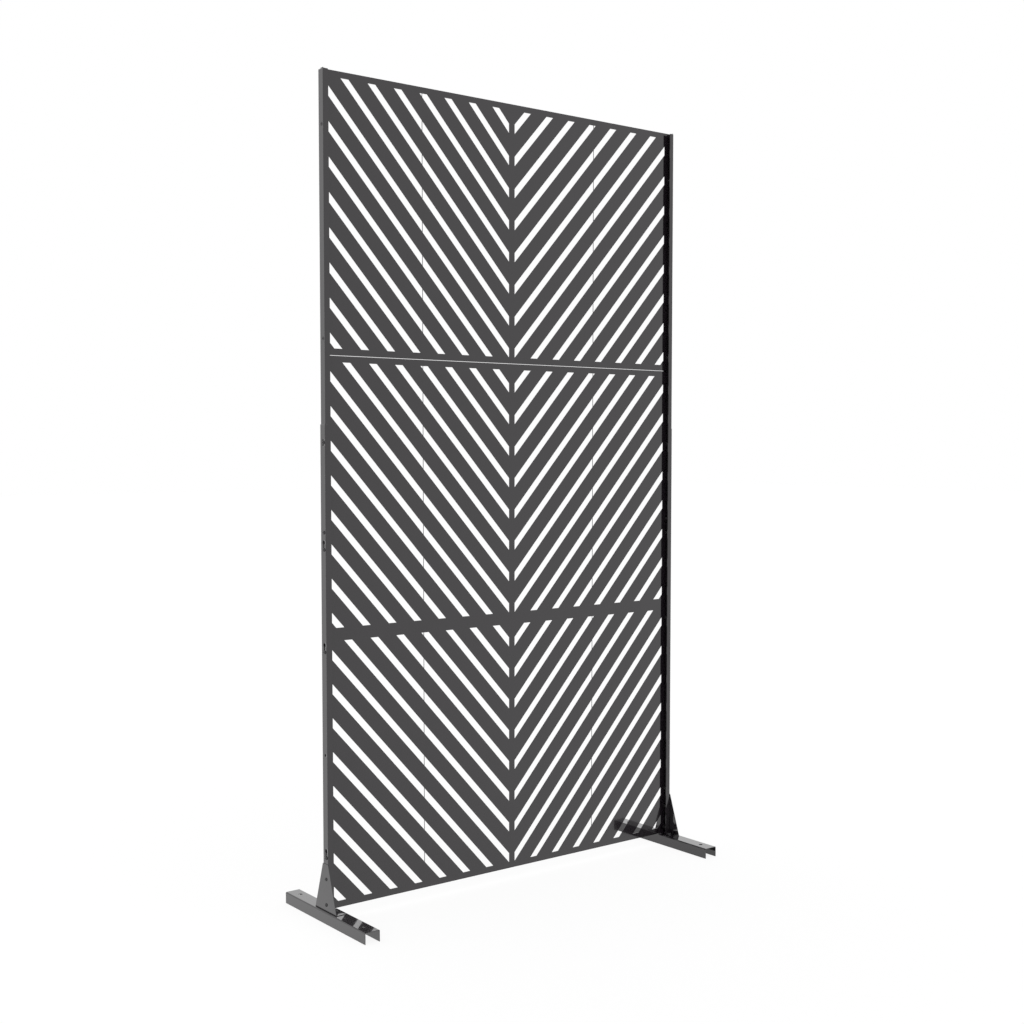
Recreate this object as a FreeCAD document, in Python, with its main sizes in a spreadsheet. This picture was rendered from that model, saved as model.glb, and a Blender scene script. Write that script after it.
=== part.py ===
import FreeCAD, Part
import os
import Sketcher

# Garden privacy screen: three identical sheet metal panels, cut with a chevron
# of slanted slots, stand one above the other between two channel posts.
# Each post is two nested sections, bolted to a gusset bracket that stands on a
# foot, and each foot is an inverted channel with two anchor holes.
#
# Millimetres. X runs along the screen, +Y is the back, +Z is up. The origin is
# on the ground, in the middle of the screen. Anything called "reach", "half"
# or "line" is a distance from that middle, so both sides share it.

# alias, value, meaning
SIZES = (
    ("panel_height", 639.2, "height of one panel"),
    ("panel_sheet", 1.0, "panel sheet thickness"),
    ("panel_face", 2.0, "front face of the panels behind the middle of the posts"),
    ("panel_flange", 11.0, "panel side flange, folded forward"),
    ("panel_fold", 0.4, "inside radius of the panel fold"),
    ("panel_gap", 1.0, "gap under the top panel"),
    ("slot_count", 15, "slots in each half of a panel"),
    ("slot_pitch", 79.0, "height from slot to slot"),
    ("slot_run", 71.6, "length along X in which a slot climbs one pitch"),
    ("slot_opening", 23.5, "height of a slot opening"),
    ("slot_drop", 42.9, "slot zone top to the top slot's edge line, in the middle"),
    ("slot_reach", 521.8, "outer end of the slots"),
    ("slot_margin", 14.7, "solid band above the slots"),
    ("slot_footing", 15.5, "solid band below the slots"),
    ("spine_width", 17.2, "solid strip down the middle of a panel"),
    ("tie_line", 268.0, "centre of the thin tie across the slots"),
    ("tie_width", 1.2, "width of that tie"),
    ("post_half", 542.7, "outer face of the upper post section"),
    ("post_sheet", 1.2, "post sheet thickness"),
    ("post_depth", 22.0, "front to back of the upper post section"),
    ("post_lip", 530.0, "inner edge of the post flanges"),
    ("post_fold", 0.4, "inside radius of the post folds"),
    ("post_top", 1944.5, "top of the upper post section"),
    ("post_joint", 1150.0, "top of the lower post section"),
    ("post_overlap", 300.0, "length of upper section inside the lower one"),
    ("bracket_sheet", 1.2, "bracket sheet thickness"),
    ("bracket_base", 95.0, "front to back of the bracket at the foot"),
    ("bracket_rise", 109.5, "height of the gusset above the base flange"),
    ("bracket_reach", 522.0, "inner edge of the bracket base flange"),
    ("foot_length", 362.0, "front to back of a foot"),
    ("foot_width", 38.8, "width of a foot"),
    ("foot_height", 26.8, "height of a foot"),
    ("foot_sheet", 1.5, "foot sheet thickness"),
    ("foot_fold", 1.2, "inside radius of the foot folds"),
    ("foot_line", 531.6, "centre line of a foot"),
    ("anchor_spacing", 288.0, "anchor hole to anchor hole along a foot"),
    ("anchor_hole", 10.0, "anchor hole diameter"),
    ("hole_line", -2.1, "holes in the side of the post, from its middle"),
    ("screw_size", 4.0, "post screw diameter"),
    ("screw_hole", 5.0, "clearance hole for a post screw"),
    ("screw_head", 8.4, "post screw head diameter"),
    ("screw_head_rise", 2.2, "post screw head height"),
    ("flat_head_rise", 0.8, "top panel screw head height"),
    ("short_shank", 8.0, "shank of a screw through the post alone"),
    ("long_shank", 10.0, "shank of a screw through bracket and post"),
    ("nut_width", 7.0, "post nut across flats"),
    ("nut_rise", 3.2, "post nut height"),
    ("thread_play", 0.1, "gap between a nut and its screw"),
    ("washer_size", 10.0, "spacer washer diameter"),
    ("base_size", 6.0, "base bolt diameter"),
    ("base_hole", 6.6, "clearance hole for a base bolt"),
    ("base_head", 10.0, "base bolt head across flats"),
    ("base_head_rise", 4.0, "base bolt head height"),
    ("base_shank", 12.0, "base bolt shank"),
    ("base_nut_rise", 5.0, "base nut height"),
    ("base_line", 22.0, "base bolts in front of and behind the post"),
    ("keyhole_size", 10.0, "round part of a keyhole"),
    ("keyhole_drop", 16.5, "keyhole centre down to the screw"),
    ("slot_hole_width", 6.0, "width of the slotted hole at the post joint"),
    ("slot_hole_length", 16.0, "height of the slotted hole at the post joint"),
    ("sight_hole", 6.5, "plain round hole between the keyholes"),
    ("bracket_low", 42.0, "height of the lower bracket screw"),
    ("bracket_high", 102.0, "height of the upper bracket screw"),
    ("panel_low", 151.5, "height of the lower screw of the bottom panel"),
    ("sight_height", 391.0, "height of the plain round hole"),
    ("panel_high", 629.5, "height of the upper screw of the bottom panel"),
    ("middle_low", 864.5, "height of the lower screw of the middle panel"),
    ("joint_low", 904.0, "height of the lower post joint screw"),
    ("joint_high", 1109.0, "height of the upper post joint screw"),
    ("top_low", 1344.0, "height of the lower screw of the top panel"),
    ("top_high", 1822.0, "height of the upper screw of the top panel"),
)

SIDES = (("left", -1), ("right", 1))
BRACKET_SCREWS = ("bracket_low", "bracket_high")
KEYHOLES = ("panel_low", "panel_high", "middle_low")
JOINT_SCREWS = ("joint_low", "joint_high")
TOP_SCREWS = ("top_low", "top_high")

# Sides of the polygons that stand for small circles
COVERED_HOLE = 8
OPEN_HOLE = 16
SCREW_HEAD = 12
SCREW_SHANK = 8

# Positions that several pieces share, written as sheet formulas
POST_INNER = "(Sizes.post_half - Sizes.post_sheet)"
LOWER_HALF = "(Sizes.post_half + Sizes.post_sheet)"
BRACKET_HALF = "(Sizes.post_half + Sizes.post_sheet + Sizes.bracket_sheet)"
POST_FRONT = "(-0.5 * Sizes.post_depth)"
UPPER_BACK = "(0.5 * Sizes.post_depth)"
LOWER_BACK = "(0.5 * Sizes.post_depth + Sizes.post_sheet)"
BASE_TOP = "(Sizes.foot_height + Sizes.bracket_sheet)"
FLANGE_INNER = "(Sizes.post_half - Sizes.post_sheet - Sizes.panel_sheet)"
MIDDLE_BASE = f"({BASE_TOP} + Sizes.panel_height)"
TOP_BASE = f"({BASE_TOP} + 2 * Sizes.panel_height + Sizes.panel_gap)"

doc = FreeCAD.newDocument("privacy_screen")


def make_sheet():
    sheet = doc.addObject("Spreadsheet::Sheet", "Sizes")
    for row, (alias, value, meaning) in enumerate(SIZES, 1):
        sheet.set(f"A{row}", meaning)
        sheet.set(f"B{row}", str(value))
        sheet.setAlias(f"B{row}", alias)
    doc.recompute()


def height(alias):
    return f"Sizes.{alias}"


# Sketches -----------------------------------------------------------------

def new_body(label):
    body = doc.addObject("PartDesign::Body", label)
    body.Label = label
    return body


def origin_feature(body, role):
    for feature in body.Origin.OriginFeatures:
        if feature.Role == role:
            return feature
    raise RuntimeError(f"no {role} in {body.Label}")


def new_sketch(body, name, plane, offset="0"):
    """A sketch on one of the body's own planes, moved along its normal."""
    sketch = body.newObject("Sketcher::SketchObject", f"{body.Name}_{name}")
    sketch.AttachmentSupport = [(origin_feature(body, plane), "")]
    sketch.MapMode = "FlatFace"
    sketch.setExpression("AttachmentOffset.Base.z", offset)
    return sketch


def pin_points(sketch, points, formulas):
    """Tie points of the sketch, each a line and its end, to pairs of sheet formulas."""
    first = sketch.ConstraintCount
    pins = []
    for i, (line, end) in enumerate(points):
        pins.append(Sketcher.Constraint("DistanceX", -1, 1, line, end, 10.0 * i))
        pins.append(Sketcher.Constraint("DistanceY", -1, 1, line, end, 5.0 * i * i))
    sketch.addConstraint(pins)
    for i, (across, along) in enumerate(formulas):
        sketch.setExpression(f"Constraints[{first + 2 * i}]", across)
        sketch.setExpression(f"Constraints[{first + 2 * i + 1}]", along)


def add_outline(sketch, corners):
    """A closed polygon whose corners are pairs of sheet formulas."""
    first = sketch.GeometryCount
    count = len(corners)
    guess = [FreeCAD.Vector(10 * i, 5 * i * i, 0) for i in range(count)]
    sketch.addGeometry([Part.LineSegment(guess[i - 1], guess[i]) for i in range(count)])
    ties = []
    for i in range(count):
        before = first + (i - 1) % count
        ties.append(Sketcher.Constraint("Coincident", before, 2, first + i, 1))
    sketch.addConstraint(ties)
    pin_points(sketch, [(first + i, 2) for i in range(count)], corners)


def add_rectangle(sketch, left, bottom, right, top):
    add_outline(sketch, ((left, bottom), (right, bottom), (right, top), (left, top)))


def add_polygon(sketch, across, along, diameter, sides):
    """A regular polygon with its corners on a circle."""
    corners = []
    for i in range(sides):
        turn = f"{360 * i / sides} deg"
        right = f"{across} + 0.5 * {diameter} * cos({turn})"
        up = f"{along} + 0.5 * {diameter} * sin({turn})"
        corners.append((right, up))
    add_outline(sketch, corners)


def add_circle(sketch, across, along, diameter):
    circle = Part.Circle(FreeCAD.Vector(1, 1, 0), FreeCAD.Vector(0, 0, 1), 1)
    index = sketch.addGeometry(circle)
    pin_points(sketch, [(index, 3)], [(across, along)])
    size = sketch.addConstraint(Sketcher.Constraint("Diameter", index, 2.0))
    sketch.setExpression(f"Constraints[{size}]", diameter)


# Features -----------------------------------------------------------------

def add_feature(body, kind, name, sketch, length, midplane=False):
    feature = body.newObject(f"PartDesign::{kind}", f"{body.Name}_{name}")
    feature.Profile = sketch
    feature.Midplane = midplane
    feature.setExpression("Length", length)
    doc.recompute()
    return feature


def cut(body, name, sketch, length):
    """A pocket to both sides of its sketch, which must take material away."""
    before = body.Shape.Volume
    pocket = add_feature(body, "Pocket", name, sketch, length, midplane=True)
    if not body.Shape.Volume < before - 1e-3:
        raise RuntimeError(f"{body.Label}: {name} cuts nothing")
    return pocket


def round_edges(body, name, radius, axis, places):
    """Fillet the edges that run along an axis through the given places."""
    tip = body.Tip
    names = []
    for number, edge in enumerate(tip.Shape.Edges, 1):
        if len(edge.Vertexes) != 2:
            continue
        start, end = (vertex.Point for vertex in edge.Vertexes)
        middle = (start + end) * 0.5
        if abs((end - start).normalize().dot(axis)) < 0.999:
            continue
        for place in places:
            away = middle - place
            if (away - axis * away.dot(axis)).Length < 0.01:
                names.append(f"Edge{number}")
    if len(names) != len(places):
        raise RuntimeError(f"{body.Label}: {name} found {len(names)} edges")
    fillet = body.newObject("PartDesign::Fillet", f"{body.Name}_{name}")
    fillet.Base = (tip, names)
    fillet.setExpression("Radius", radius)
    doc.recompute()


# Panels -------------------------------------------------------------------

def panel_tray(name, base, holes):
    """The panel sheet with its two side flanges, before the slots are cut."""
    body = new_body(f"{name}_tray")
    half = POST_INNER
    back = "Sizes.panel_face + Sizes.panel_sheet"

    face = new_sketch(body, "face", "XZ_Plane", f"-({back})")
    add_rectangle(face, f"-{half}", "0", half, "Sizes.panel_height")
    add_feature(body, "Pad", "sheet", face, "Sizes.panel_sheet")

    flanges = new_sketch(body, "flanges", "XZ_Plane", "-Sizes.panel_face")
    for side in ("-", ""):
        edges = (f"{side}{FLANGE_INNER}", "0", f"{side}{half}", "Sizes.panel_height")
        add_rectangle(flanges, *edges)
    add_feature(body, "Pad", "side_flanges", flanges, "Sizes.panel_flange")

    sizes = doc.Sizes
    outer = sizes.post_half - sizes.post_sheet
    inner = outer - sizes.panel_sheet
    front = sizes.panel_face
    up = FreeCAD.Vector(0, 0, 1)
    outside = [FreeCAD.Vector(s * outer, front + sizes.panel_sheet, 0) for s in (-1, 1)]
    inside = [FreeCAD.Vector(s * inner, front, 0) for s in (-1, 1)]
    round_edges(body, "outer_folds", "Sizes.panel_fold + Sizes.panel_sheet", up, outside)
    round_edges(body, "inner_folds", "Sizes.panel_fold", up, inside)

    for hole in holes:
        drilling = new_sketch(body, f"{hole}_hole", "YZ_Plane")
        place = ("Sizes.hole_line", f"{height(hole)} - {base}")
        add_polygon(drilling, *place, "Sizes.screw_hole", COVERED_HOLE)
        cut(body, f"{hole}_cut", drilling, "2 * Sizes.post_half")
    return body


def slot_bands(name):
    """All slanted bands of a panel, each split in two by the thin tie."""
    body = new_body(f"{name}_bands")
    slope = "Sizes.slot_pitch / Sizes.slot_run"
    top_line = "(Sizes.panel_height - Sizes.slot_margin - Sizes.slot_drop)"
    spine = "0.5 * Sizes.spine_width"
    tie_inner = "(Sizes.tie_line - 0.5 * Sizes.tie_width)"
    tie_outer = "(Sizes.tie_line + 0.5 * Sizes.tie_width)"

    band = new_sketch(body, "band", "XZ_Plane", "-(Sizes.panel_face + 0.5 * Sizes.panel_sheet)")
    for start, end in ((spine, tie_inner), (tie_outer, "Sizes.slot_reach")):
        start_top = f"{top_line} + {start} * {slope}"
        end_top = f"{top_line} + {end} * {slope}"
        corners = (
            (start, f"{start_top} - Sizes.slot_opening"),
            (end, f"{end_top} - Sizes.slot_opening"),
            (end, end_top),
            (start, start_top),
        )
        add_outline(band, corners)
    pad = add_feature(body, "Pad", "band_pad", band, "4 * Sizes.panel_sheet", midplane=True)

    repeat = body.newObject("PartDesign::MultiTransform", f"{body.Name}_chevron")
    down = doc.addObject("PartDesign::LinearPattern", f"{body.Name}_down")
    down.Direction = (origin_feature(body, "Z_Axis"), [""])
    down.Reversed = True
    down.setExpression("Length", "(Sizes.slot_count - 1) * Sizes.slot_pitch")
    down.setExpression("Occurrences", "Sizes.slot_count")
    across = doc.addObject("PartDesign::Mirrored", f"{body.Name}_across")
    across.MirrorPlane = (origin_feature(body, "YZ_Plane"), [""])
    repeat.Originals = [pad]
    repeat.Transformations = [down, across]
    body.Tip = repeat
    doc.recompute()
    return body


def slot_zone(name):
    """The rectangle of the panel in which the bands are open."""
    zone = doc.addObject("Part::Box", f"{name}_zone")
    zone.setExpression("Length", "2 * Sizes.slot_reach")
    zone.setExpression("Width", "6 * Sizes.panel_sheet")
    zone.setExpression("Height", "Sizes.panel_height - Sizes.slot_margin - Sizes.slot_footing")
    zone.setExpression("Placement.Base.x", "-Sizes.slot_reach")
    zone.setExpression("Placement.Base.y", "Sizes.panel_face - 2.5 * Sizes.panel_sheet")
    zone.setExpression("Placement.Base.z", "Sizes.slot_footing")
    return zone


def make_panel(name, base, holes):
    slots = doc.addObject("Part::Common", f"{name}_slots")
    slots.Base = slot_bands(name)
    slots.Tool = slot_zone(name)
    panel = doc.addObject("Part::Cut", name)
    panel.Label = name
    panel.Base = panel_tray(name, base, holes)
    panel.Tool = slots
    panel.setExpression("Placement.Base.z", base)
    doc.recompute()
    return panel


# Posts --------------------------------------------------------------------

def channel(label, side, half, back, bottom, top):
    """A channel that stands upright and opens towards the panels."""
    body = new_body(label)
    section = new_sketch(body, "section", "XY_Plane", bottom)
    lip = f"{side} * Sizes.post_lip"
    add_rectangle(section, lip, POST_FRONT, f"{side} * {half}", back)
    add_feature(body, "Pad", "section_pad", section, f"{top} - {bottom}")

    hollow = new_sketch(body, "hollow", "XY_Plane", f"0.5 * ({top} + {bottom})")
    inner = f"{side} * ({half} - Sizes.post_sheet)"
    near = f"{POST_FRONT} + Sizes.post_sheet"
    add_rectangle(hollow, f"{lip} - {side} * 1", near, inner, f"{back} - Sizes.post_sheet")
    cut(body, "hollow_cut", hollow, f"{top} - {bottom} + 2")
    return body


def round_channel(body, side, half, back):
    sheet = doc.Sizes.post_sheet
    front = -0.5 * doc.Sizes.post_depth
    up = FreeCAD.Vector(0, 0, 1)
    outside = [FreeCAD.Vector(side * half, y, 0) for y in (front, back)]
    inner = side * (half - sheet)
    inside = [FreeCAD.Vector(inner, y, 0) for y in (front + sheet, back - sheet)]
    round_edges(body, "outer_folds", "Sizes.post_fold + Sizes.post_sheet", up, outside)
    round_edges(body, "inner_folds", "Sizes.post_fold", up, inside)


def pierce(body, side, name, rounds, necks):
    """Holes through the side of a post: round ones, then straight necks."""
    web = f"{side} * Sizes.post_half"
    depth = "8 * Sizes.post_sheet"
    for number, (at, diameter, sides) in enumerate(rounds, 1):
        drilling = new_sketch(body, f"{name}_round_{number}", "YZ_Plane", web)
        add_polygon(drilling, "Sizes.hole_line", at, diameter, sides)
        cut(body, f"{name}_round_cut_{number}", drilling, depth)
    if not necks:
        return
    straight = new_sketch(body, f"{name}_necks", "YZ_Plane", web)
    for low, high, width in necks:
        near = f"Sizes.hole_line - 0.5 * {width}"
        far = f"Sizes.hole_line + 0.5 * {width}"
        add_rectangle(straight, near, low, far, high)
    cut(body, f"{name}_neck_cut", straight, depth)


def keyhole(screw):
    """A round opening above a narrow neck that ends at the screw."""
    seat = height(screw)
    middle = f"{seat} + Sizes.keyhole_drop"
    rounds = (
        (middle, "Sizes.keyhole_size", OPEN_HOLE),
        (seat, "Sizes.screw_hole", COVERED_HOLE),
    )
    return rounds, ((seat, middle, "Sizes.screw_hole"),)


def slotted_hole(screw):
    """A tall hole with round ends, centred on the screw."""
    shift = "0.5 * (Sizes.slot_hole_length - Sizes.slot_hole_width)"
    low = f"{height(screw)} - {shift}"
    high = f"{height(screw)} + {shift}"
    width = "Sizes.slot_hole_width"
    return ((low, width, OPEN_HOLE), (high, width, OPEN_HOLE)), ((low, high, width),)


def make_lower_post(name, side):
    body = channel(name, side, LOWER_HALF, LOWER_BACK, BASE_TOP, "Sizes.post_joint")
    sizes = doc.Sizes
    half = sizes.post_half + sizes.post_sheet
    round_channel(body, side, half, 0.5 * sizes.post_depth + sizes.post_sheet)
    plain = BRACKET_SCREWS + ("joint_low",)
    rounds = [(height(screw), "Sizes.screw_hole", COVERED_HOLE) for screw in plain]
    rounds.append((height("sight_height"), "Sizes.sight_hole", OPEN_HOLE))
    necks = []
    for more_rounds, more_necks in [keyhole(screw) for screw in KEYHOLES]:
        rounds += more_rounds
        necks += more_necks
    ends, neck = slotted_hole("joint_high")
    pierce(body, side, "side", tuple(rounds) + ends, tuple(necks) + neck)
    return body


def make_upper_post(name, side):
    """The section that slides into the lower one, where it has no front flange."""
    bottom = "(Sizes.post_joint - Sizes.post_overlap)"
    body = channel(name, side, "Sizes.post_half", UPPER_BACK, bottom, "Sizes.post_top")
    round_channel(body, side, doc.Sizes.post_half, 0.5 * doc.Sizes.post_depth)
    notch = new_sketch(body, "notch", "XZ_Plane", f"-{POST_FRONT}")
    lip = f"{side} * (Sizes.post_lip - 1)"
    add_rectangle(notch, lip, f"{bottom} - 1", f"{side} * (Sizes.post_half + 1)", "Sizes.post_joint")
    cut(body, "notch_cut", notch, "4 * Sizes.post_sheet")
    rounds, necks = keyhole("middle_low")
    plain = JOINT_SCREWS + TOP_SCREWS
    rounds += tuple((height(screw), "Sizes.screw_hole", COVERED_HOLE) for screw in plain)
    pierce(body, side, "side", rounds, necks)
    return body


# Brackets and feet --------------------------------------------------------

def make_bracket(name, side):
    """An angle: an upright gusset outside the post and a flange on the foot."""
    body = new_body(name)
    middle = f"{side} * ({BRACKET_HALF} - 0.5 * Sizes.bracket_sheet)"
    plate = new_sketch(body, "plate", "YZ_Plane", middle)
    wide = "0.5 * Sizes.bracket_base"
    top = f"{BASE_TOP} + Sizes.bracket_rise"
    corners = (
        (f"-{wide}", "Sizes.foot_height"),
        (wide, "Sizes.foot_height"),
        (LOWER_BACK, top),
        (POST_FRONT, top),
    )
    add_outline(plate, corners)
    add_feature(body, "Pad", "gusset", plate, "Sizes.bracket_sheet", midplane=True)

    flange = new_sketch(body, "flange", "XY_Plane", "Sizes.foot_height")
    outer = f"{side} * {BRACKET_HALF}"
    add_rectangle(flange, f"{side} * Sizes.bracket_reach", f"-{wide}", outer, wide)
    add_feature(body, "Pad", "base_flange", flange, "Sizes.bracket_sheet")

    sizes = doc.Sizes
    half = sizes.post_half + sizes.post_sheet + sizes.bracket_sheet
    fold = [FreeCAD.Vector(side * half, 0, sizes.foot_height)]
    round_edges(body, "fold", "0.9 * Sizes.bracket_sheet", FreeCAD.Vector(0, 1, 0), fold)

    screws = new_sketch(body, "screw_holes", "YZ_Plane", f"{side} * {BRACKET_HALF}")
    for screw in BRACKET_SCREWS:
        place = ("Sizes.hole_line", height(screw))
        add_polygon(screws, *place, "Sizes.screw_hole", COVERED_HOLE)
    cut(body, "screw_hole_cut", screws, "8 * Sizes.bracket_sheet")

    bolts = new_sketch(body, "bolt_holes", "XY_Plane", "Sizes.foot_height")
    for end in ("-", ""):
        place = (f"{side} * Sizes.foot_line", f"{end}Sizes.base_line")
        add_polygon(bolts, *place, "Sizes.base_hole", COVERED_HOLE)
    cut(body, "bolt_hole_cut", bolts, "8 * Sizes.bracket_sheet")
    return body


def make_foot(name, side):
    """An inverted channel, open below and at both ends."""
    body = new_body(name)
    near = f"({side} * Sizes.foot_line - 0.5 * Sizes.foot_width)"
    far = f"({side} * Sizes.foot_line + 0.5 * Sizes.foot_width)"
    section = new_sketch(body, "section", "XZ_Plane")
    add_rectangle(section, near, "0", far, "Sizes.foot_height")
    add_feature(body, "Pad", "section_pad", section, "Sizes.foot_length", midplane=True)

    hollow = new_sketch(body, "hollow", "XZ_Plane")
    ceiling = "Sizes.foot_height - Sizes.foot_sheet"
    sheet = "Sizes.foot_sheet"
    add_rectangle(hollow, f"{near} + {sheet}", "-1", f"{far} - {sheet}", ceiling)
    cut(body, "hollow_cut", hollow, "Sizes.foot_length + 2")

    sizes = doc.Sizes
    middle = side * sizes.foot_line
    half = sizes.foot_width / 2
    under = sizes.foot_height - sizes.foot_sheet
    along = FreeCAD.Vector(0, 1, 0)
    outside = [FreeCAD.Vector(middle + s * half, 0, sizes.foot_height) for s in (-1, 1)]
    inside = [FreeCAD.Vector(middle + s * (half - sizes.foot_sheet), 0, under) for s in (-1, 1)]
    round_edges(body, "outer_folds", "Sizes.foot_fold + Sizes.foot_sheet", along, outside)
    round_edges(body, "inner_folds", "Sizes.foot_fold", along, inside)

    holes = new_sketch(body, "holes", "XY_Plane", "Sizes.foot_height")
    for end in ("-", ""):
        line = f"{side} * Sizes.foot_line"
        add_circle(holes, line, f"{end}0.5 * Sizes.anchor_spacing", "Sizes.anchor_hole")
        add_polygon(holes, line, f"{end}Sizes.base_line", "Sizes.base_hole", COVERED_HOLE)
    cut(body, "hole_cut", holes, "8 * Sizes.foot_sheet")
    return body


# Fasteners ----------------------------------------------------------------

def add_prism(name, sides, radius, length, start="0"):
    """A regular prism along Z that begins at the given height."""
    prism = doc.addObject("Part::Prism", name)
    prism.Polygon = sides
    prism.setExpression("Circumradius", radius)
    prism.setExpression("Height", length)
    prism.setExpression("Placement.Base.z", start)
    return prism


def add_hexagon(name, across_flats, length):
    return add_prism(name, 6, f"{across_flats} / sqrt(3)", length)


def make_screw(name, head_rise, shank):
    """Round-headed screw: the head sits on z = 0 and the shank hangs below."""
    head = add_prism(f"{name}_head", SCREW_HEAD, "0.5 * Sizes.screw_head", head_rise)
    doc.recompute()
    rise = head.Height.Value
    dome = doc.addObject("Part::Chamfer", f"{name}_dome")
    dome.Base = head
    bevel = 0.6 * rise
    crown = [number for number, edge in enumerate(head.Shape.Edges, 1)
             if abs(edge.BoundBox.ZMin - rise) < 1e-6]
    dome.Edges = [(number, bevel, bevel) for number in crown]
    stem = add_prism(f"{name}_stem", SCREW_SHANK, "0.5 * Sizes.screw_size", shank, f"-{shank}")
    screw = doc.addObject("Part::Fuse", name)
    screw.Base = dome
    screw.Tool = stem
    return screw


def make_hex_bolt(name):
    """Hexagon-headed base bolt, its head on z = 0 and its shank below."""
    head = add_hexagon(f"{name}_head", "Sizes.base_head", "Sizes.base_head_rise")
    shank = "Sizes.base_shank"
    stem = add_prism(f"{name}_stem", SCREW_SHANK, "0.5 * Sizes.base_size", shank, f"-{shank}")
    bolt = doc.addObject("Part::Fuse", name)
    bolt.Base = head
    bolt.Tool = stem
    return bolt


def make_nut(name, across_flats, rise, thread):
    """Hexagon nut with a plain bore, standing on z = 0."""
    block = add_hexagon(f"{name}_block", across_flats, rise)
    radius = f"0.5 * {thread} + Sizes.thread_play"
    bore = add_prism(f"{name}_bore", SCREW_SHANK, radius, f"{rise} + 2", "-1")
    nut = doc.addObject("Part::Cut", name)
    nut.Base = block
    nut.Tool = bore
    return nut


def make_washer(name):
    """Spacer washer, as thick as the post sheet whose place it takes."""
    thick = "Sizes.post_sheet"
    disc = add_prism(f"{name}_disc", SCREW_HEAD, "0.5 * Sizes.washer_size", thick)
    radius = "0.5 * Sizes.screw_hole"
    bore = add_prism(f"{name}_bore", SCREW_SHANK, radius, f"{thick} + 2", "-1")
    washer = doc.addObject("Part::Cut", name)
    washer.Base = disc
    washer.Tool = bore
    return washer


def make_group(label, pattern, places, turn):
    """Copies of one fastener, turned alike, gathered under one label."""
    copies = []
    for number, place in enumerate(places, 1):
        copy = doc.addObject("App::Link", f"{label}_{number}")
        copy.LinkedObject = pattern
        copy.Placement.Rotation = turn
        for axis, formula in zip("xyz", place):
            copy.setExpression(f"Placement.Base.{axis}", formula)
        copies.append(copy)
    group = doc.addObject("Part::Compound", label)
    group.Label = label
    group.Links = copies
    doc.recompute()
    return group


def side_places(side, face, screws):
    """Points on the side of a post, one per screw height."""
    return [(f"{side} * {face}", "Sizes.hole_line", height(screw)) for screw in screws]


def base_places(side, level):
    line = f"{side} * Sizes.foot_line"
    return [(line, f"{end}Sizes.base_line", level) for end in ("-", "")]


def make_fasteners(side_name, side, patterns):
    """Everything that holds one end of the screen together."""
    sideways = FreeCAD.Vector(side, 0, 0)
    outward = FreeCAD.Rotation(FreeCAD.Vector(0, 0, 1), sideways)
    inward = FreeCAD.Rotation(FreeCAD.Vector(0, 0, 1), -sideways)
    upright = FreeCAD.Rotation()
    over = FreeCAD.Rotation(FreeCAD.Vector(1, 0, 0), 180)
    spacers = BRACKET_SCREWS + ("panel_low", "panel_high")
    groups = (
        ("bracket_screws", "long_screw", BRACKET_HALF, BRACKET_SCREWS, outward),
        ("bracket_nuts", "nut", FLANGE_INNER, BRACKET_SCREWS, inward),
        ("panel_screws", "short_screw", LOWER_HALF, KEYHOLES, outward),
        ("panel_nuts", "nut", FLANGE_INNER, KEYHOLES, inward),
        ("joint_screws", "short_screw", LOWER_HALF, JOINT_SCREWS, outward),
        ("joint_nuts", "nut", FLANGE_INNER, JOINT_SCREWS, inward),
        ("top_screws", "flat_screw", "Sizes.post_half", TOP_SCREWS, outward),
        ("top_nuts", "nut", FLANGE_INNER, TOP_SCREWS, inward),
        ("spacer_washers", "washer", POST_INNER, spacers, outward),
    )
    made = []
    for label, pattern, face, screws, turn in groups:
        places = side_places(side, face, screws)
        made.append(make_group(f"{label}_{side_name}", patterns[pattern], places, turn))
    ceiling = "Sizes.foot_height - Sizes.foot_sheet"
    bolts = base_places(side, BASE_TOP)
    nuts = base_places(side, ceiling)
    made.append(make_group(f"base_bolts_{side_name}", patterns["base_bolt"], bolts, upright))
    made.append(make_group(f"base_nuts_{side_name}", patterns["base_nut"], nuts, over))
    return made


def make_patterns():
    return {
        "short_screw": make_screw("short_screw", "Sizes.screw_head_rise", "Sizes.short_shank"),
        "long_screw": make_screw("long_screw", "Sizes.screw_head_rise", "Sizes.long_shank"),
        "flat_screw": make_screw("flat_screw", "Sizes.flat_head_rise", "Sizes.short_shank"),
        "nut": make_nut("nut", "Sizes.nut_width", "Sizes.nut_rise", "Sizes.screw_size"),
        "washer": make_washer("washer"),
        "base_bolt": make_hex_bolt("base_bolt"),
        "base_nut": make_nut("base_nut", "Sizes.base_head", "Sizes.base_nut_rise", "Sizes.base_size"),
    }


# Build and write ----------------------------------------------------------

def build():
    make_sheet()
    pieces = [
        make_panel("panel_bottom", BASE_TOP, BRACKET_SCREWS + ("panel_low", "panel_high")),
        make_panel("panel_middle", MIDDLE_BASE, ("middle_low",) + JOINT_SCREWS),
        make_panel("panel_top", TOP_BASE, TOP_SCREWS),
    ]
    patterns = make_patterns()
    for side_name, side in SIDES:
        pieces.append(make_lower_post(f"post_{side_name}_lower", side))
        pieces.append(make_upper_post(f"post_{side_name}_upper", side))
        pieces.append(make_bracket(f"bracket_{side_name}", side))
        pieces.append(make_foot(f"foot_{side_name}", side))
        pieces += make_fasteners(side_name, side, patterns)
    doc.recompute()
    return pieces


def check(pieces):
    for thing in doc.Objects:
        if "Invalid" in thing.State or "Error" in thing.State:
            raise RuntimeError(f"{thing.Label} is not right: {thing.State}")
    for piece in pieces:
        if piece.Shape.isNull() or not piece.Shape.isValid() or not piece.Shape.Solids:
            raise RuntimeError(f"{piece.Label} has no valid solid")


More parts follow.
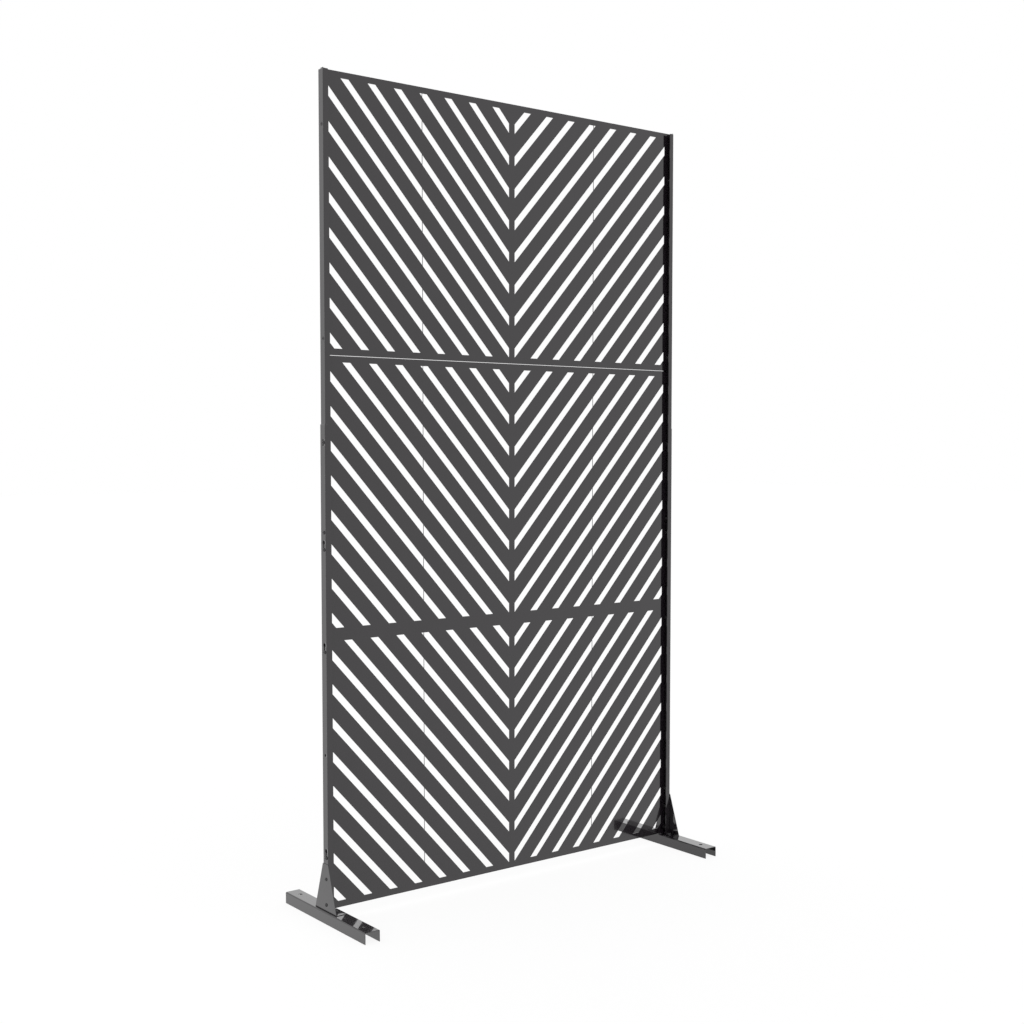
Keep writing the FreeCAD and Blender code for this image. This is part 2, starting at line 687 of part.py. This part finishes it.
def write(pieces):
    os.makedirs("parts", exist_ok=True)
    for piece in pieces:
        piece.Shape.exportStep(f"parts/{piece.Label}.step")
        box = piece.Shape.BoundBox
        print(
            f"{piece.Label:24s} solids {len(piece.Shape.Solids):2d}"
            f"  x {box.XMin:8.1f} {box.XMax:8.1f}  y {box.YMin:7.1f} {box.YMax:7.1f}"
            f"  z {box.ZMin:7.1f} {box.ZMax:7.1f}  volume {piece.Shape.Volume:.0f}"
        )


all_pieces = build()
check(all_pieces)
write(all_pieces)
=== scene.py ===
import bmesh
import bpy
import math
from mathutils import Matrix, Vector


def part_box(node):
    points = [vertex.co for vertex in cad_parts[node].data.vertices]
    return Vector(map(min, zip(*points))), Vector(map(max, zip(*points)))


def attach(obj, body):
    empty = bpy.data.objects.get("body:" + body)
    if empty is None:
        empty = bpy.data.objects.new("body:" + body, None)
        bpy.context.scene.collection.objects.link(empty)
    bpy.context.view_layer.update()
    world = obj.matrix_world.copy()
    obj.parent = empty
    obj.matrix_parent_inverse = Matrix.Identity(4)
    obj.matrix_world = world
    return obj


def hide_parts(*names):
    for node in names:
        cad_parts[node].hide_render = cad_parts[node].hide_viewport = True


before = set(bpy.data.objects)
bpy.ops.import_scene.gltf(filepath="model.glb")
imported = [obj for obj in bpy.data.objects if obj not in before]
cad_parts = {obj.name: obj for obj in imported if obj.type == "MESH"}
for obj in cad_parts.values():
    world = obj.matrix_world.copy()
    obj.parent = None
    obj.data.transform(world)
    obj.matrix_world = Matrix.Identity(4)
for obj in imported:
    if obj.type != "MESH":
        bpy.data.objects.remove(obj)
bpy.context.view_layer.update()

# The photograph's camera, found from the slot grid: metres, degrees and millimetres of lens
CAMERA_PLACE = (-2.1386, -2.7719, 1.0941)
CAMERA_TURN = 37.663
CAMERA_DROP = 3.159
CAMERA_LENS = 48.975
CAMERA_SENSOR = 36.0
CAMERA_SHIFT = (-0.0007, 0.0136)

# The white floor: its size, the share of its white that takes the object's shadow, the rest of
# it, and the tone that lights the object from below
WHITE = (1, 1, 1, 1)
FLOOR_SIZE = 60.0
FLOOR_SHADOW = (0.12, 0.12, 0.12, 1)
FLOOR_LIGHT = 0.89
FLOOR_TONE = (0.8, 0.8, 0.8, 1)

# Black coat of the sheet parts: colours, noise scales, gloss and relief in metres
COAT_TONES = ((0.008, 0.006, 0.008, 1), (0.014, 0.011, 0.014, 1))
CLOUD_SCALE = 9.0
SMEAR_SCALE = 26.0
SMEAR_STRETCH = (1.0, 1.0, 0.35)
COAT_ROUGHNESS = (0.07, 0.14)
COAT_IOR = 1.42
CLEAR_ROUGHNESS = 0.04
PEEL_SCALE = 420.0
PEEL_STRENGTH = 0.1
PEEL_DEPTH = 0.00002
RIPPLE_SCALE = 7.0
RIPPLE_STRENGTH = 0.25
RIPPLE_DEPTH = 0.00012

# Posts: how round the coat leaves a fold, and how far out along X the folds start
FOLD_RADIUS = 0.003
FOLD_START = (0.536, 0.538)
FOLD_SAMPLES = 8

# The usual span of a noise texture's values
NOISE_SPAN = (0.3, 0.7)

# Black finish of screws and bolts
SCREW_TONES = ((0.055, 0.054, 0.056, 1), (0.10, 0.098, 0.10, 1))
SCREW_PATCH_SCALE = 160.0
SCREW_METAL = 0.75
SCREW_MATT_SCALE = 300.0
SCREW_ROUGHNESS = (0.28, 0.45)
SCREW_GRAIN_SCALE = 1500.0
SCREW_GRAIN_STRENGTH = 0.3
RUBBED_TONE = (0.24, 0.235, 0.23, 1)
RUBBED_SCALE = 700.0
RUBBED_SPAN = (0.55, 0.75)
RUBBED_MOST = 0.35

# Zinc of nuts and washers
ZINC_TONES = ((0.20, 0.205, 0.205, 1), (0.34, 0.335, 0.32, 1))
ZINC_PATCH_SCALE = 220.0
ZINC_MATT_SCALE = 500.0
ZINC_ROUGHNESS = (0.22, 0.42)
TURNING_SCALE = 900.0
TURNING_STRETCH = (8.0, 1.0, 1.0)
TURNING_STRENGTH = 0.25
METAL_RELIEF = 0.00002

# Places of screws and washers up the posts, and of the base bolts, in metres
SCREW_HEIGHTS = {
    "bracket": (0.042, 0.102),
    "panel": (0.1515, 0.6295, 0.8645),
    "joint": (0.904, 1.109),
    "top": (1.344, 1.822),
}
WASHER_HEIGHTS = (0.042, 0.102, 0.1515, 0.6295)
HOLE_LINE = -0.0021
BASE_LINE = 0.5316
BASE_REACH = 0.022
BRACKET_TOP = 0.028

# Sizes of the hardware in metres: diameters, widths across flats and radii of bores
SCREW_SIZE = 0.004
HEAD_SIZE = 0.0084
HEAD_RISE = 0.0022
LOW_HEAD_RISE = 0.0008
SOCKET_SIZE = 0.0025
SOCKET_DEPTH = 0.0014
NUT_SIZE = 0.007
NUT_BORE = 0.0021
NUT_LEAD = 0.0004
WASHER_SIZE = 0.010
WASHER_BORE = 0.0022
BOLT_SIZE = 0.006
BOLT_HEAD = 0.010
BOLT_BORE = 0.0031
THREAD_PITCH = 0.0007

# Forms of the hardware, as shares of its radius or height
THREAD_ROOT = 0.86
SHANK_TIP = 0.7
HEAD_FOOT = 0.96
HEAD_EDGE = 0.18
DOME_STEPS = (0.35, 0.6, 0.85, 1.0)
DOME_NARROWING = 0.45
DOME_CURVE = 2.2
SOCKET_LIP = 1.06
SOCKET_LIP_HEIGHT = 0.9
BOLT_EDGE = 0.06
BORE_MOUTH = 1.12
WASHER_EDGE = 0.25
CORNER_TURN = 0.96
CORNER_SLOPE = 0.55
TURN_STEPS = 48
SHARP_ANGLE = 32


def new_material(name):
    material = bpy.data.materials.new(name)
    material.use_nodes = True
    material.node_tree.nodes.clear()
    return material


class Tree:
    """Short calls that add and wire shader nodes."""

    def __init__(self, tree):
        self.tree = tree

    def add(self, kind, inputs=None, **settings):
        node = self.tree.nodes.new(kind)
        for name, value in settings.items():
            setattr(node, name, value)
        for name, value in (inputs or {}).items():
            if isinstance(value, bpy.types.NodeSocket):
                self.tree.links.new(value, node.inputs[name])
            else:
                node.inputs[name].default_value = value
        return node

    def place(self):
        return self.add("ShaderNodeTexCoord").outputs["Object"]

    def math(self, operation, first, second=0.0):
        inputs = {0: first, 1: second}
        return self.add("ShaderNodeMath", inputs, operation=operation).outputs[0]

    def scaled(self, place, scales):
        inputs = {0: place, 1: scales}
        return self.add("ShaderNodeVectorMath", inputs, operation="MULTIPLY").outputs["Vector"]

    def remap(self, value, source, target):
        inputs = {"Value": value}
        inputs.update(zip(("From Min", "From Max", "To Min", "To Max"), source + target))
        return self.add("ShaderNodeMapRange", inputs).outputs["Result"]

    def noise(self, place, scale, detail=2.0, roughness=0.5):
        inputs = {"Vector": place, "Scale": scale, "Detail": detail, "Roughness": roughness}
        return self.add("ShaderNodeTexNoise", inputs).outputs["Fac"]

    def blend(self, amount, low, high):
        node = self.add("ShaderNodeMix", {0: amount, 6: low, 7: high}, data_type="RGBA")
        return node.outputs[2]

    def bump(self, height, strength, distance, normal=None):
        inputs = {"Strength": strength, "Distance": distance, "Height": height}
        if normal:
            inputs["Normal"] = normal
        return self.add("ShaderNodeBump", inputs).outputs[0]

    def principled(self, inputs):
        shader = self.add("ShaderNodeBsdfPrincipled", inputs)
        self.add("ShaderNodeOutputMaterial", {"Surface": shader.outputs[0]})


def make_world():
    """Plain white studio, the same for every ray."""
    world = bpy.data.worlds.new("studio")
    bpy.context.scene.world = world
    world.use_nodes = True
    world.node_tree.nodes.clear()
    tree = Tree(world.node_tree)
    back = tree.add("ShaderNodeBackground", {"Color": WHITE, "Strength": 1.0})
    tree.add("ShaderNodeOutputWorld", {"Surface": back.outputs[0]})


def make_floor():
    """White to the camera and in reflections, and a plain pale floor to all other light."""
    mesh = bpy.data.meshes.new("floor")
    half = FLOOR_SIZE / 2
    corners = [(-half, -half, 0), (half, -half, 0), (half, half, 0), (-half, half, 0)]
    mesh.from_pydata(corners, [], [(0, 1, 2, 3)])
    floor = bpy.data.objects.new("floor", mesh)
    bpy.context.scene.collection.objects.link(floor)
    material = new_material("floor_white")
    tree = Tree(material.node_tree)
    ray = tree.add("ShaderNodeLightPath").outputs
    plain = tree.add("ShaderNodeBsdfDiffuse", {"Color": FLOOR_TONE})
    shadowed = tree.add("ShaderNodeBsdfDiffuse", {"Color": FLOOR_SHADOW})
    light = tree.add("ShaderNodeEmission", {"Color": WHITE, "Strength": FLOOR_LIGHT})
    white = tree.add("ShaderNodeAddShader", {0: shadowed.outputs[0], 1: light.outputs[0]})
    clear = tree.math("MAXIMUM", ray["Is Camera Ray"], ray["Is Transmission Ray"])
    clear = tree.math("MAXIMUM", clear, ray["Is Glossy Ray"])
    choice = {0: clear, 1: plain.outputs[0], 2: white.outputs[0]}
    surface = tree.add("ShaderNodeMixShader", choice)
    tree.add("ShaderNodeOutputMaterial", {"Surface": surface.outputs[0]})
    floor.data.materials.append(material)


def make_camera():
    data = bpy.data.cameras.new("camera")
    data.lens = CAMERA_LENS
    data.sensor_width = CAMERA_SENSOR
    data.shift_x, data.shift_y = CAMERA_SHIFT
    camera = bpy.data.objects.new("camera", data)
    bpy.context.scene.collection.objects.link(camera)
    camera.location = CAMERA_PLACE
    camera.rotation_euler = (math.radians(90 - CAMERA_DROP), 0, math.radians(-CAMERA_TURN))
    bpy.context.scene.camera = camera


def rounded_fold(tree, place, radius):
    """The surface's normal, rounded where the posts fold from their side to their flanges."""
    axes = tree.add("ShaderNodeSeparateXYZ", {0: place})
    across = tree.math("ABSOLUTE", axes.outputs["X"])
    folded = tree.remap(across, FOLD_START, (0.0, 1.0))
    flat = tree.add("ShaderNodeNewGeometry").outputs["Normal"]
    bent = tree.add("ShaderNodeBevel", {"Radius": radius}, samples=FOLD_SAMPLES).outputs[0]
    mixed = {0: folded, 4: flat, 5: bent}
    return tree.add("ShaderNodeMix", mixed, data_type="VECTOR").outputs[1]


def paint(name, fold=0.0):
    """Smooth black coating: nearly all its tone is what it mirrors."""
    material = new_material(name)
    tree = Tree(material.node_tree)
    place = tree.place()
    smear = tree.noise(tree.scaled(place, SMEAR_STRETCH), SMEAR_SCALE, 5.0, 0.65)
    normal = rounded_fold(tree, place, fold) if fold else None
    sheet = tree.noise(place, RIPPLE_SCALE, 1.0)
    ripple = tree.bump(sheet, RIPPLE_STRENGTH, RIPPLE_DEPTH, normal)
    peel = tree.noise(place, PEEL_SCALE)
    tree.principled({
        "Base Color": tree.blend(tree.noise(place, CLOUD_SCALE, 4.0, 0.6), *COAT_TONES),
        "Roughness": tree.remap(smear, NOISE_SPAN, COAT_ROUGHNESS),
        "IOR": COAT_IOR,
        "Coat Weight": 1.0,
        "Coat Roughness": CLEAR_ROUGHNESS,
        "Coat IOR": COAT_IOR,
        "Normal": tree.bump(peel, PEEL_STRENGTH, PEEL_DEPTH, ripple),
        "Coat Normal": ripple,
    })
    return material


def blackened_steel():
    """Screws and bolts: thin black finish with brighter rubbed spots."""
    material = new_material("blackened_steel")
    tree = Tree(material.node_tree)
    place = tree.place()
    patch = tree.blend(tree.noise(place, SCREW_PATCH_SCALE, 3.0), *SCREW_TONES)
    spots = tree.noise(place, RUBBED_SCALE, 4.0, 0.6)
    rubbed = tree.remap(spots, RUBBED_SPAN, (0.0, RUBBED_MOST))
    matt = tree.noise(place, SCREW_MATT_SCALE, 3.0)
    grain = tree.noise(place, SCREW_GRAIN_SCALE)
    tree.principled({
        "Base Color": tree.blend(rubbed, patch, RUBBED_TONE),
        "Metallic": SCREW_METAL,
        "Roughness": tree.remap(matt, NOISE_SPAN, SCREW_ROUGHNESS),
        "Normal": tree.bump(grain, SCREW_GRAIN_STRENGTH, METAL_RELIEF),
    })
    return material


def zinc_steel():
    """Nuts and washers: dull zinc in patches, with fine turning marks."""
    material = new_material("zinc_plate")
    tree = Tree(material.node_tree)
    place = tree.place()
    matt = tree.noise(place, ZINC_MATT_SCALE, 3.0)
    lines = tree.noise(tree.scaled(place, TURNING_STRETCH), TURNING_SCALE)
    tree.principled({
        "Base Color": tree.blend(tree.noise(place, ZINC_PATCH_SCALE, 4.0, 0.6), *ZINC_TONES),
        "Metallic": 1.0,
        "Roughness": tree.remap(matt, NOISE_SPAN, ZINC_ROUGHNESS),
        "Normal": tree.bump(lines, TURNING_STRENGTH, METAL_RELIEF),
    })
    return material


def hexagon(angle, across):
    """Radius of a hexagon, by its width across flats."""
    sixth = math.pi / 3
    return across / 2 / math.cos((angle + sixth / 2) % sixth - sixth / 2)


def ring(along, radius):
    """A ring gives, for each angle, how far along the axis and how far from it a point lies."""
    return lambda angle: (along, radius)


def hexagon_ring(along, across):
    return lambda angle: (along, hexagon(angle, across))


def bevelled_hexagon(across, along, inward):
    """Two rings: a round face at along, and the hexagon's edge where its corners are turned."""
    face = across / 2 * CORNER_TURN

    def corner(angle):
        radius = hexagon(angle, across)
        return along + inward * (radius - face) * CORNER_SLOPE, radius

    return [ring(along, face), corner]


def thread(start, end, radius):
    """Rings of a shank from its tip to the head, with a crest and a root for each turn."""
    rings = [ring(start, radius * SHANK_TIP), ring(start + THREAD_PITCH, radius)]
    turns = int((end - start) / THREAD_PITCH) - 2
    for turn in range(turns):
        along = start + THREAD_PITCH * (turn + 1.5)
        rings.append(ring(along, radius * THREAD_ROOT))
        rings.append(ring(along + THREAD_PITCH / 2, radius))
    return rings + [ring(end, radius)]


def round_screw(shank, rise):
    """Rings of a low round head with a hexagon socket, along its axis from the seat outwards."""
    radius = HEAD_SIZE / 2
    rings = thread(-shank, 0.0, SCREW_SIZE / 2)
    rings += [ring(0.0, radius * HEAD_FOOT), ring(rise * HEAD_EDGE, radius)]
    for share in DOME_STEPS:
        height = rise * (HEAD_EDGE + (1 - HEAD_EDGE) * math.sin(share * math.pi / 2))
        rings.append(ring(height, radius * (1.0 - DOME_NARROWING * share ** DOME_CURVE)))
    rings.append(hexagon_ring(rise, SOCKET_SIZE * SOCKET_LIP))
    rings.append(hexagon_ring(rise * SOCKET_LIP_HEIGHT, SOCKET_SIZE))
    rings.append(hexagon_ring(rise - SOCKET_DEPTH, SOCKET_SIZE))
    return rings


def hex_bolt(shank, rise):
    """Rings of a bolt with a hexagon head, its top corners turned off."""
    rings = thread(-shank, 0.0, BOLT_SIZE / 2)
    rings.append(ring(0.0, BOLT_HEAD / 2 * HEAD_FOOT))
    rings.append(hexagon_ring(rise * BOLT_EDGE, BOLT_HEAD))
    return rings + bevelled_hexagon(BOLT_HEAD, rise, -1)[::-1]


def nut(across, bore, rise):
    """Rings of a nut, out and back through its bore."""
    low_face = bevelled_hexagon(across, 0.0, 1)
    high_face = bevelled_hexagon(across, rise, -1)[::-1]
    high_bore = [ring(rise, bore * BORE_MOUTH), ring(rise - NUT_LEAD, bore)]
    low_bore = [ring(NUT_LEAD, bore), ring(0.0, bore * BORE_MOUTH)]
    return low_face + high_face + high_bore + low_bore


def washer(rise):
    """Rings of a washer with broken edges, out and back through its bore."""
    outer, edge = WASHER_SIZE / 2, rise * WASHER_EDGE
    low_edge = [ring(0.0, outer - edge), ring(edge, outer)]
    high_edge = [ring(rise - edge, outer), ring(rise, outer - edge)]
    return low_edge + high_edge + [ring(rise, WASHER_BORE), ring(0.0, WASHER_BORE)]


def turn_on(shell, rings, seat, way, hollow):
    """Adds one turned piece to a bmesh, seated at a point and pointing along +-X or +Z."""
    rows = []
    for point in rings:
        row = []
        for step in range(TURN_STEPS):
            angle = math.tau * step / TURN_STEPS
            along, radius = point(angle)
            first, second = radius * math.cos(angle), radius * math.sin(angle)
            offset = (along * way[0], first, second) if way[0] else (first, second, along)
            row.append(shell.verts.new([start + move for start, move in zip(seat, offset)]))
        rows.append(row)
    if hollow:
        rows.append(rows[0])
    else:
        shell.faces.new(rows[0])
        shell.faces.new(rows[-1])
    for low, high in zip(rows, rows[1:]):
        for step in range(TURN_STEPS):
            after = (step + 1) % TURN_STEPS
            shell.faces.new((low[step], low[after], high[after], high[step]))


class Finish:
    """A material with a slot name that is not used, and the pieces made in it."""

    def __init__(self, material, slot):
        self.material = material
        self.slot = slot

    def piece(self, name, node, rings, seats, way, hollow=False):
        """One object for every screw, nut or washer that a CAD node holds."""
        shell = bmesh.new()
        for seat in seats:
            turn_on(shell, rings, seat, way, hollow)
        bmesh.ops.recalc_face_normals(shell, faces=shell.faces)
        mesh = bpy.data.meshes.new(name)
        shell.to_mesh(mesh)
        shell.free()
        mesh.shade_smooth()
        mesh.set_sharp_from_angle(angle=math.radians(SHARP_ANGLE))
        mesh.materials.append(self.material)
        piece = bpy.data.objects.new(name, mesh)
        bpy.context.scene.collection.objects.link(piece)
        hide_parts(node)
        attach(piece, "root")


def span(node):
    """How far out a node on one side starts and ends."""
    low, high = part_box(node)
    return sorted((abs(low[0]), abs(high[0])))


def make_post_pieces(side, sign, black_steel, zinc):
    """Screws and nuts along a post, and the washers beside the bottom panel."""
    way = (sign, 0, 0)
    for kind, heights in SCREW_HEIGHTS.items():
        rise = LOW_HEAD_RISE if kind == "top" else HEAD_RISE
        node = f"{kind}_screws_{side}"
        inner, outer = span(node)
        seats = [(sign * (outer - rise), HOLE_LINE, height) for height in heights]
        rings = round_screw(outer - rise - inner, rise)
        black_steel.piece(f"socket_screws_{kind}_{side}", node, rings, seats, way)
        node = f"{kind}_nuts_{side}"
        inner, outer = span(node)
        seats = [(sign * inner, HOLE_LINE, height) for height in heights]
        rings = nut(NUT_SIZE, NUT_BORE, outer - inner)
        zinc.piece(f"hex_nuts_{kind}_{side}", node, rings, seats, way, hollow=True)
    node = f"spacer_washers_{side}"
    inner, outer = span(node)
    seats = [(sign * inner, HOLE_LINE, height) for height in WASHER_HEIGHTS]
    zinc.piece(f"washers_{side}", node, washer(outer - inner), seats, way, hollow=True)


def make_base_pieces(side, sign, black_steel, zinc):
    """Bolts that hold a bracket on its foot, with nuts below."""
    up = (0, 0, 1)
    places = [(sign * BASE_LINE, y) for y in (-BASE_REACH, BASE_REACH)]
    node = f"base_bolts_{side}"
    low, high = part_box(node)
    rings = hex_bolt(BRACKET_TOP - low[2], high[2] - BRACKET_TOP)
    seats = [(*place, BRACKET_TOP) for place in places]
    black_steel.piece(f"hex_bolts_{side}", node, rings, seats, up)
    node = f"base_nuts_{side}"
    low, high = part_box(node)
    rings = nut(BOLT_HEAD, BOLT_BORE, high[2] - low[2])
    seats = [(*place, low[2]) for place in places]
    zinc.piece(f"hex_nuts_base_{side}", node, rings, seats, up, hollow=True)


black = paint("black_coat")
post_black = paint("post_coat", FOLD_RADIUS)
for name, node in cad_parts.items():
    node.data.materials.clear()
    node.data.materials.append(post_black if name.startswith("post_") else black)

black_steel = Finish(blackened_steel(), "black_screw")
zinc = Finish(zinc_steel(), "zinc_steel")
for side, sign in (("left", -1), ("right", 1)):
    make_post_pieces(side, sign, black_steel, zinc)
    make_base_pieces(side, sign, black_steel, zinc)

make_camera()
make_floor()
make_world()
bpy.context.scene.view_settings.view_transform = "Standard"
